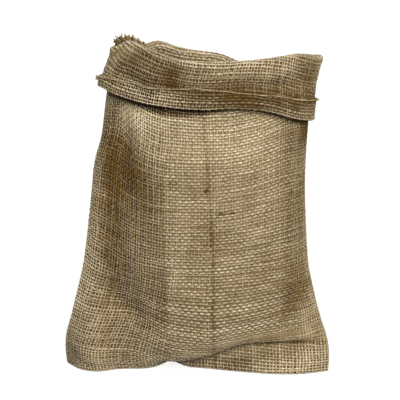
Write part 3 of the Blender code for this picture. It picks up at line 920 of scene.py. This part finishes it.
# slubs, pulled yarns and stains on the front
FLAWS = np.array([
    # x   z   turn length width brown open
    [7.0,   151.6,  0,  1.3, 1.2, 1.20, 0.90],
    [18.6,  133.5,  0,  2.6, 0.8, 1.30, 0.90],
    [27.0,  133.7,  0,  1.6, 0.7, 1.00, 0.80],
    [15.4,  130.5, 90,  1.6, 1.0, 0.40, 0.15],
    [-20.0, 157.0,  0,  5.0, 0.8, 0.25, 0.14],
    [-47.0, 118.0, 88, 18.0, 0.7, 0.25, 0.12],
    [73.0,  143.8, 10,  1.8, 1.2, 0.50, 0.20],
    [14.0,   42.5,  0,  1.4, 1.2, 0.30, 0.10],
    [10.0,  177.0, 85, 20.0, 4.0, 0.06, 0.00],
    [-28.0, 190.0, 90, 14.0, 3.0, 0.12, 0.00],
])
# painted shadow of the cuff on the cloth just under its edge: how brown, how far down and how
# open, the open yarns showing the painted dark between them
UNDER_CUFF_SHADOW = np.array([
    # x brown reach open
    [-72, 0.35, 3.4, 0.05],
    [-58, 0.35, 3.8, 0.15],
    [-46, 0.20, 5.4, 0.55],
    [-34, 0.00, 7.8, 0.70],
    [-4,  0.00, 7.4, 0.70],
    [14,  0.30, 4.6, 0.50],
    [28,  0.40, 2.4, 0.10],
    [60,  0.10, 1.6, 0.00],
    [88,  0.60, 3.6, 0.00],
])
# Where the wefts are packed they hide the warps, and where the weave is even (1) both show alike,
# with open square holes between them.
EVEN = np.array([
    # x body cuff
    [-100, 0.80, 0.1],
    [-40,  0.80, 0.1],
    [-18,  0.08, 0.3],
    [20,   0.00, 0.5],
    [62,   0.00, 0.8],
    [84,   0.70, 0.9],
])
EVEN_TOP = 0.18             # the upper belly's weave is more even, from this height to this,
EVEN_TOP_HEIGHTS = (165.0, 195.0)
EVEN_STRIP = 0.65           # and so is the strip's above the bottom fold, up to these
EVEN_STRIP_HEIGHTS = (22.0, 32.0)
EVEN_WARP = 1.57            # the yarns' widths where the weave is even, as shares of the packed
EVEN_WEFT = 0.86
EVEN_WAVE = 0.75            # and how much the yarns still wave there
# bare gaps show the painted dark of the sack's shaded inside: these say how much of it shows
PACKED_BARE = 0.45          # how bare the narrow gaps between packed wefts are,
EVEN_BARE = 0.88            # the even weave's holes,
CUFF_BARE = 0.86            # the cuff's
HEM_BARE = 1.00             # and the hem's, where the yarns are narrower too,
HEM_OPEN = 0.08             # by this much
HEM_PACKED = 0.6            # its weave is this much less even: its wefts run through as lines
HEM_EASE = 4.0              # the hem's look comes in over this distance before its edge
RIM_EASE = (-4.0, 3.0)      # and the cuff's over the rim
CALM = 0.25                 # where yarns are this much wider they are pressed quite flat
CREASE_BROWN = 0.32         # the warps on the two creases are browner, in lines this wide,
CREASE_WIDTH = 1.3
CREASE_LEFT = 0.6           # the left one less so
LEFT_CREASE_SHADE = 0.26    # left of the left crease the cloth is painted darker for the shade of its side turned from the light: how far from it this starts, is full, eases off and is over and the same along the cloth
LEFT_CREASE_REACH = (-0.5, 1.5, 2.0, 22.0)      # starts, is full, eases off and is over
LEFT_CREASE_RUN = (40.0, 90.0, 170.0, 200.0)    # and the same along the cloth
SHADE_EDGE = (0.7, 1.25)    # the cuff's shade ends softly between these shares of its reach
WARP_TANS = 1.00            # the warps, deeper in the cloth, take more of the brown than the wefts, as painted shade
WEFT_TANS = 0.92
BARE = (0.0, 0.24)          # from this much pulled apart to this much, the holes open up
BLOTCH_SIZES = (9.0, 34.0)
BLOTCH_BROWN = 0.03
BLOTCH_WIDTH = 0.02
WIDTHS = (0.3, 1.25)        # a yarn's least and greatest width in all this


def marks_at(points, table, column):
    """Sum over the table of the named amount * exp(-(a / length)^2 - (b / width)^2)."""
    return folds_at(points, table[:, [0, 1, 2, 3, 4, column]])


def crease_at(line, far):
    """Where one of the front panel's lines stands across it, at distances along the cloth."""
    return line_at(FRONT_LINES[line], far) - CENTRE_X


def looks_of(points, far, past, side, rng):
    """How brown the cloth is at each point, how wide its yarns are, how even and how calm its
    weave is, and how bare the holes are."""
    here = points * (-side, 1, 1)
    x, height = here[..., 0], here[..., 2]
    cuff, hem = lift(past, *RIM_EASE), lift(far, LENGTH - HEM_EASE, LENGTH)
    body = 1 - cuff
    spots = FLAWS if side < 0 else INSIDE_MARKS

    def marked(column):
        """The body's and the cuff's own marks, each on its part of the cloth, and the spots."""
        own_body = marks_at(here, BODY_MARKS, column) + marks_at(points, spots, column)
        return body * own_body + cuff * marks_at(here, CUFF_MARKS, column)

    brown = body * AGED + cuff * AGED_CUFF + marked(BROWN)
    narrow = cuff * CUFF_OPEN + marked(OPEN)
    if side < 0:
        from_right, from_left = x - crease_at(RIGHT_CREASE, far), crease_at(LEFT_CREASE, far) - x
        lines = np.exp(-((from_right / CREASE_WIDTH) ** 2))
        lines = lines + CREASE_LEFT * np.exp(-((from_left / CREASE_WIDTH) ** 2))
        beside = window(from_left, *LEFT_CREASE_REACH) * window(far, *LEFT_CREASE_RUN)
        brown = brown + body * (CREASE_BROWN * lines + LEFT_CREASE_SHADE * beside)
        # the cuff hangs down to 2 end + pi RIM_BEND - LENGTH, and this is how far below that
        end = far - past - RIM_BEND * np.pi / 2
        below = 2 * end + np.pi * RIM_BEND - LENGTH - far
        # painted shadow: the cloth under the cuff's edge is browned and its yarns narrowed
        deep, reach, open_here = (through(UNDER_CUFF_SHADOW, column, x) for column in (1, 2, 3))
        shaded = body * (1 - lift(below, SHADE_EDGE[0] * reach, SHADE_EDGE[1] * reach))
        brown, narrow = brown + shaded * deep, narrow + shaded * open_here
    brown = brown + BLOTCH_BROWN * waves_at(points, rng, BLOTCH_SIZES, 0)
    wide = np.clip(1 - narrow + BLOTCH_WIDTH * waves_at(points, rng, BLOTCH_SIZES, 0), *WIDTHS)
    even = through(EVEN, 1, x) + EVEN_TOP * lift(height, *EVEN_TOP_HEIGHTS)
    even = even + EVEN_STRIP * (1 - lift(height, *EVEN_STRIP_HEIGHTS))
    even = body * even + cuff * through(EVEN, 2, x)
    even = np.clip(even * (1 - HEM_PACKED * hem), 0, 1)
    calm = np.clip(-narrow / CALM, 0, 1)
    bare = body * (PACKED_BARE + (EVEN_BARE - PACKED_BARE) * even)
    bare = bare + cuff * (CUFF_BARE + (HEM_BARE - CUFF_BARE) * hem)
    bare = np.clip(np.maximum(lift(narrow, *BARE), bare) * (1 - calm), 0, 1)
    wide = wide * (1 - HEM_OPEN * hem)
    return {"brown": brown, "wide": wide, "even": even, "calm": calm, "bare": bare}


# Unevenness of the spinning: how much a yarn differs from the next, how much it changes along
# itself, and over how many rings.
WANDER = (0.13, 0.22, 9)            # mm out of its place
GIRTH = (0.10, 0.10, 7)             # shares of its girth
TONE = (0.06, 0.10, 10)             # from the dark to the light colour
TAN = (0.05, 0.07, 12)              # brown
SLUBS = (0.08, 1.5)                 # short thick and thin places,
MOTTLE = (0.12, 1.6)                # pale and dark ones,
SPECKS = (0.14, 2.2, 0.7)           # and brown ones, of which only the strongest show
GIRTHS = (0.62, 1.4)
SPACINGS = (0.5, 1.15)              # yarns that are crowded or spread are narrower or wider,
SPACING_POWER = 0.7                 # by this power of their spacing
FLATTENED = 0.7                     # share of the wave that pressed yarns lose
EVEN_PALER = 0.35                   # warps that stand free in an even weave are painted paler, for the light they catch


def weave(name, points, looks, rng):
    """Plain weave over a grid of points: warps stand on the odd columns, wefts on the odd rows.

    At crossing (i, j) the warp is WAVE * (-1)^(i + j) off the middle and the weft as far the
    other way; half way between crossings both pass through the middle."""
    run, rise, normal = facing(points)
    rows, columns = points.shape[:2]
    pieces = []

    def differing(how, yarns, rings):
        """Random numbers: each yarn's own, and those that change along it."""
        return how[0] * rng.normal(size=(yarns, 1)) + how[1] * uneven(rng, yarns, rings, how[2])

    for kind in ("warps", "wefts"):
        warp = kind == "warps"
        pick = (slice(None), slice(1, None, 2)) if warp else (slice(1, None, 2), slice(None))

        def laid(grid):
            return grid[pick].swapaxes(0, 1) if warp else grid[pick]

        centre, up = laid(points), laid(normal)
        brown, wide, even, calm = (laid(looks[key]) for key in ("brown", "wide", "even", "calm"))
        forward, beside = (laid(rise), laid(run)) if warp else (laid(run), laid(rise))
        step = np.gradient(points, axis=1 if warp else 0)
        spacing = laid(np.linalg.norm(step, axis=-1)) / HALF
        yarns, rings = centre.shape[:2]
        number = np.arange(yarns)[:, None]
        crossing = (np.arange(rows if warp else columns)[None, :] - 1) / 2
        wave = WAVE * np.cos(np.pi * (crossing + number)) * (1 if warp else -1)
        wave = wave if warp else wave * (1 + WEFT_PROUD / WAVE * (1 - even))
        wave = wave * (1 - (1 - EVEN_WAVE) * even) * (1 - FLATTENED * calm)
        wander = WANDER[1] * uneven(rng, yarns, rings, WANDER[2])
        wander = wander + WANDER[0] * rng.normal(size=(yarns, 1))
        girth = 1 + differing(GIRTH, yarns, rings)
        slubs = SLUBS[0] * uneven(rng, yarns, rings, SLUBS[1]) * (1 - calm)
        girth = np.clip(girth + slubs, *GIRTHS)
        width = (WARP_WIDTH if warp else WEFT_WIDTH) * girth * wide
        width = width * (1 + ((EVEN_WARP if warp else EVEN_WEFT) - 1) * even)
        width = width * np.clip(spacing, *SPACINGS) ** SPACING_POWER
        thick = YARN_THICK * np.sqrt(girth)
        centre = centre + up * wave[..., None] + beside * wander[..., None]
        tone = MID_SHADE + differing(TONE, yarns, rings) + (EVEN_PALER * even if warp else 0)
        tone = tone + MOTTLE[0] * uneven(rng, yarns, rings, MOTTLE[1]) * (1 - calm)
        tans = 1 + ((WARP_TANS if warp else WEFT_TANS) - 1) * (1 - even)
        tan_and_painted_shade = brown * tans + differing(TAN, yarns, rings)
        specks = np.clip(uneven(rng, yarns, rings, SPECKS[1]) - SPECKS[2], 0, None)
        tan_and_painted_shade = tan_and_painted_shade + SPECKS[0] * specks * (1 - calm)
        # brown below nothing is painted light: a yarn made paler than the cloth
        values = {"shade": tone + np.clip(-tan_and_painted_shade, 0, 1), "brown": np.clip(tan_and_painted_shade, 0, 1)}
        pieces.append(tubes(name + "_" + kind, centre, unit(np.cross(up, forward)), up, width,
                            thick, values, WARP if warp else WEFT))
    return pieces


def ground_sheet(grids, looks):
    """The cloth's middle as one sheet, front and back panel joined at the fold and the seams."""
    bares, browns = ([look[key] for look in looks] for key in ("bare", "brown"))
    ring, bare, brown = [np.concatenate([front[::2, ::2], back[::2, -3:1:-2]], axis=1)
                         for front, back in (grids, bares, browns)]
    rows, around = ring.shape[:2]
    index = np.arange(rows * around).reshape(rows, around)
    after = np.roll(index, -1, axis=1)
    quads = np.stack([index[:-1], after[:-1], after[1:], index[1:]], -1).reshape(-1, 4)
    r, c = np.meshgrid(np.arange(rows - 1), np.arange(around), indexing="ij")
    u = (c[..., None] + np.array([0, 1, 1, 0])) / around
    v = (r[..., None] + np.array([0, 0, 1, 1])) / (rows - 1)
    maps = {"OFBake": np.stack([u, v], -1).reshape(-1, 2)}
    values = {"bare": bare, "brown": np.clip(brown, 0, 1)}
    piece = mesh_of("jute_cloth", ring.reshape(-1, 3), quads, maps, values, GROUND)
    wall = piece.modifiers.new("thickness", "SOLIDIFY")
    wall.thickness = GROUND_THICK * MM
    wall.offset = 0.0
    return piece


def own(piece):
    """The piece is part of the sack: it moves with it."""
    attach(piece, "root")
    return piece


def sideways_of(forward):
    """For each direction two more, square to it and to each other."""
    upright = np.abs(forward[..., 2:]) > 0.9
    spare = np.where(upright, (1.0, 0.0, 0.0), (0.0, 0.0, 1.0))
    beside = unit(np.cross(forward, spare))
    return beside, unit(np.cross(beside, forward))


def loose_ends(name, roots, heads, lengths, widths, curl, brown, material, pale=MID_SHADE):
    """Cut yarn ends and stray fibres: root + length * (head * t + curl * t^2), tapered to the tip.

    roots, heads and curl are (ends, 3), lengths and widths (ends), brown (ends, 2): root and tip.
    pale is the shade at the root, one for all or one for each."""
    t = np.linspace(0, 1, END_RINGS)[None, :]
    far = t[..., None] * lengths[:, None, None]
    centre = roots[:, None] + far * heads[:, None] + far * t[..., None] * curl[:, None]
    forward = unit(np.gradient(centre, axis=1))
    beside, up = sideways_of(forward)
    width = widths[:, None] * (1 - END_TAPER * t**2)
    shade = np.reshape(pale, (-1, 1)) + TIP_PALER * t + 0 * width
    values = {"shade": shade, "brown": brown[:, :1] * (1 - t) + brown[:, 1:] * t}
    return tubes(name, centre, beside, up, width, width * END_THICK, values, material)


def hem_twine(panels, rng):
    """The row of stitches along the hem: it lies on the cloth and dips through it once a stitch,
    by exp(-((share of the stitch - 1/2) / DIP_SHARE)^2)."""
    strands = []
    rows = np.array([[-HALF], [0], [HALF]])
    for panel in panels:
        column = even_columns(panel, HEM_START + HEM_MIDDLE + rows[:, 0], TWINE_RINGS)
        hem = at_columns(panel.hem, column)
        # the row above the stitches keeps short of the fold at the hem's upper edge
        beside = np.minimum(rows, 0.8 * THREAD_BELOW_TUCK)
        grid = panel.place(column, HEM_START + hem - THREAD_BELOW_TUCK + beside)
        out = facing(grid)[2][1] * -panel.side
        share = running(grid[1]) / STITCH + (STITCH_SHIFT if panel.side < 0 else 0.0)
        dip = np.exp(-(((share % 1 - 0.5) / DIP_SHARE) ** 2))
        wander = drifting(rng, 1, TWINE_RINGS, TWINE_WANDER)[0]
        rise = unit(np.gradient(grid, axis=0))[1]
        off = THREAD_OFF - THREAD_DIP * dip
        strands.append([grid[1] + out * off[:, None] + rise * wander[:, None], out])
    centre, up = (np.stack(each) for each in zip(*strands))
    beside = unit(np.cross(unit(np.gradient(centre, axis=1)), up))
    width = THREAD_WIDTH * drifting(rng, 2, TWINE_RINGS, TWINE_GIRTH)
    values = {"shade": drifting(rng, 2, TWINE_RINGS, TWINE_TONE),
              "brown": drifting(rng, 2, TWINE_RINGS, TWINE_BROWN)}
    return tubes("hem_twine", centre, beside, up, width, width * THREAD_THICK, values, TWINE)


def frayed_corner(panel, rng):
    """The left side seam's ragged edge, which stands up behind the cuff's rounded corner: yarn
    ends of uneven length in a row, leaning a little to the left."""
    count = CORNER_ENDS
    across = rng.uniform(*CORNER_REACH, count)
    column = column_of(across)
    roots = panel.place(column, panel.rim(column) - FRAY["below"])
    roots = roots + rng.normal(0, FRAY["scatter"], (count, 3)) - (0, CORNER_FORWARD, 0)
    lengths = through(CORNER_HEIGHTS, 1, across) * rng.uniform(*FRAY["share"], count)
    heads = [rng.normal(*lean, count) for lean in FRAY["lean"]] + [np.ones(count)]
    curl = rng.normal(0, FRAY["curl"], (count, 3))
    brown = [rng.uniform(*FRAY[key], count) for key in ("root_brown", "tip_brown")]
    widths, pale = rng.uniform(*FRAY["width"], count), rng.uniform(*FRAY["pale"], count)
    return loose_ends("frayed_corner", roots, unit(np.stack(heads, -1)), lengths + FRAY["least"],
                      widths, curl, np.stack(brown, -1), WARP, pale)


def corner_yarns(panel, rng):
    """The yarns that run along the frayed corner, a little above one another."""
    across = np.linspace(*CORNER_REACH, END_RINGS * 3)
    column = column_of(across)
    rows = []
    for level in CORNER_LEVELS:
        row = panel.place(column, panel.rim(column) - CORNER_BELOW)
        row[:, 2] += through(CORNER_HEIGHTS, 1, across) * level
        row[:, 1] -= CORNER_FORWARD
        wander = [drifting(rng, 1, len(row), CORNER_WANDER)[0] for _ in range(3)]
        rows.append(row + np.stack(wander, -1))
    centre = np.array(rows)
    beside, up = sideways_of(unit(np.gradient(centre, axis=1)))
    girth = drifting(rng, len(rows), len(across), CORNER_GIRTH)
    brown = drifting(rng, len(rows), len(across), CORNER_BROWN)
    values = {"shade": MID_SHADE + 0 * girth, "brown": np.clip(brown, 0, 1)}
    return tubes("corner_yarns", centre, beside, up, girth, girth * END_THICK, values, WEFT)


def seam_ends(panel, rng):
    """Small tufts where the side seams' ends come out at the top of the hem: the left one longer
    and dark at its tip, the right one only a few ends."""
    tufts = []
    for column, side, count, long, up, tip in SEAM_TUFTS:
        count = int(count)
        at = HEM_START + up + rng.uniform(*TUFT["up"], count)
        roots = panel.place(np.full(count, column), at)
        roots = roots + rng.normal(0, TUFT["scatter"], (count, 3))
        heads = np.stack([rng.normal(*lean, count) for lean in TUFT["lean"]], -1) + (side, 0, 0)
        lengths = long * rng.uniform(*TUFT["share"], count)
        browns = np.stack([rng.uniform(*TUFT["root_brown"], count), np.full(count, tip)], -1)
        tufts.append([roots, unit(heads), lengths, browns])
    roots, heads, lengths, browns = (np.concatenate(each) for each in zip(*tufts))
    curl = rng.normal(0, TUFT["curl"], roots.shape)
    widths = rng.uniform(*TUFT["width"], len(roots))
    return loose_ends("seam_ends", roots, heads, lengths, widths, curl, browns, WARP)


def stray_fibres(grids, rng):
    """Jute is hairy: single fibres that stand a few millimetres out of the cloth all over.  They
    are drawn about three times as thick as real ones, so that they show."""
    roots, heads = [], []
    for (points, far, past), side in zip(grids, (-1, 1)):
        row = rng.integers(2, len(points) - 2, FIBRES)
        column = rng.integers(1, points.shape[1] - 1, FIBRES)
        run, rise, normal = (way[row, column] for way in facing(points))
        # the cloth's other face is outside between the rim and the hem's edge
        own_face = (past < 0) | (far > LENGTH + np.pi * HEM_BEND / 2)
        out = normal * (np.where(own_face, -side, side)[row, column])[:, None]
        roots.append(points[row, column] + out * FIBRE_OFF)
        slant = rng.normal(0, FIBRE_SLANT, (FIBRES, 1)) * run
        slant = slant + rng.normal(0, FIBRE_SLANT, (FIBRES, 1)) * rise
        heads.append(unit(out * rng.uniform(*FIBRE_RISES, (FIBRES, 1)) + slant))
    roots, heads = np.concatenate(roots), np.concatenate(heads)
    free = roots[:, 2] > FIBRE_CLEAR
    roots, heads = roots[free], heads[free]
    count = len(roots)
    lengths = rng.uniform(*FIBRE_LENGTHS, count)
    brown = rng.uniform(*FIBRE_BROWN, (count, 1)) + np.zeros((1, 2))
    curl = rng.normal(0, FIBRE_CURL, (count, 3))
    return loose_ends("stray_fibres", roots, heads, lengths, np.full(count, FIBRE_WIDTH), curl,
                      brown, WEFT)


rng = np.random.default_rng(SEED)
panels = cloth_panels()
woven = woven_grids(panels)
yarns, looks = [], []
for name, side, (points, far, past) in zip(("front", "back"), (-1, 1), woven):
    looks.append(looks_of(points, far, past, side, rng))
    yarns += weave(name, points, looks[-1], rng)
yarns += [hem_twine(panels, rng), frayed_corner(panels[1], rng), corner_yarns(panels[1], rng)]
yarns += [seam_ends(panels[0], rng), stray_fibres(woven, rng)]
cloth = ground_sheet([points for points, far, past in woven], looks)
for piece in yarns + [cloth]:
    own(piece)
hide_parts("sack_cloth")

# ---------------------------------------------------------------- floor, light and camera

FLOOR_SIDE = 6000.0         # half its side
FLOOR_GLOW = 0.90
CAMERA_TARGET = (0.0025, -0.0067, 0.1346)
CAMERA_FAR = 2.4
CAMERA_RISE = np.radians(14.0)
FRAME_WIDTH = 0.312         # how much of the sack's plane the view takes in
SENSOR = 36.0
ROOM_GLOW = 0.16


def plain_stage():
    """A wide floor of opal acrylic lit from below: to the eye an even pale ground without gloss,
    flat at the height the sack stands on."""
    corners = FLOOR_SIDE * np.array([[-1, -1, 0], [1, -1, 0], [1, 1, 0], [-1, 1, 0]])
    material, _, shader = new_material("opal_acrylic_floor")
    shader.inputs["Base Color"].default_value = linear("#6c6c6c")
    shader.inputs["Roughness"].default_value = 0.9
    shader.inputs["Specular IOR Level"].default_value = 0.0
    shader.inputs["Emission Color"].default_value = linear("#ffffff")
    shader.inputs["Emission Strength"].default_value = FLOOR_GLOW
    floor = mesh_of("floor", corners, np.array([[0, 1, 2, 3]]), {}, {}, material)
    floor.visible_diffuse = False      # its glow is only a clean ground, not a light on the sack


def aimed(thing, place, target):
    """Puts a camera or lamp at a place, with its -Z towards the target."""
    thing.location = place
    thing.rotation_euler = (Vector(target) - Vector(place)).to_track_quat("-Z", "Y").to_euler()


def overhead(name, turn, height, softness, strength, colour):
    """A very large far soft box: turn and height of its direction, and softness, in degrees."""
    data = bpy.data.lights.new(name, "SUN")
    data.angle, data.energy, data.color = np.radians(softness), strength, linear(colour)[:3]
    thing = bpy.data.objects.new(name, data)
    bpy.context.scene.collection.objects.link(thing)
    turn, height = np.radians(turn), np.radians(height)
    place = (np.sin(turn) * np.cos(height), -np.cos(turn) * np.cos(height), np.sin(height))
    aimed(thing, place, (0, 0, 0))


plain_stage()
camera = bpy.data.objects.new("camera", bpy.data.cameras.new("camera"))
bpy.context.scene.collection.objects.link(camera)
bpy.context.scene.camera = camera
camera.data.sensor_width = SENSOR
camera.data.lens = SENSOR * CAMERA_FAR / FRAME_WIDTH
back_and_up = Vector((0, -np.cos(CAMERA_RISE), np.sin(CAMERA_RISE)))
aimed(camera, Vector(CAMERA_TARGET) + CAMERA_FAR * back_and_up, CAMERA_TARGET)

overhead("key", turn=18.0, height=32.0, softness=34.0, strength=6.2, colour="#fffefa")
# from behind, for the back's sake
overhead("fill", turn=190.0, height=28.0, softness=60.0, strength=2.6, colour="#fffefa")
world = bpy.data.worlds.new("pale_room")
bpy.context.scene.world = world
world.use_nodes = True
room = world.node_tree.nodes["Background"].inputs
room["Color"].default_value = linear("#f0e4d0")
room["Strength"].default_value = ROOM_GLOW
bpy.context.scene.view_settings.view_transform = "Standard"
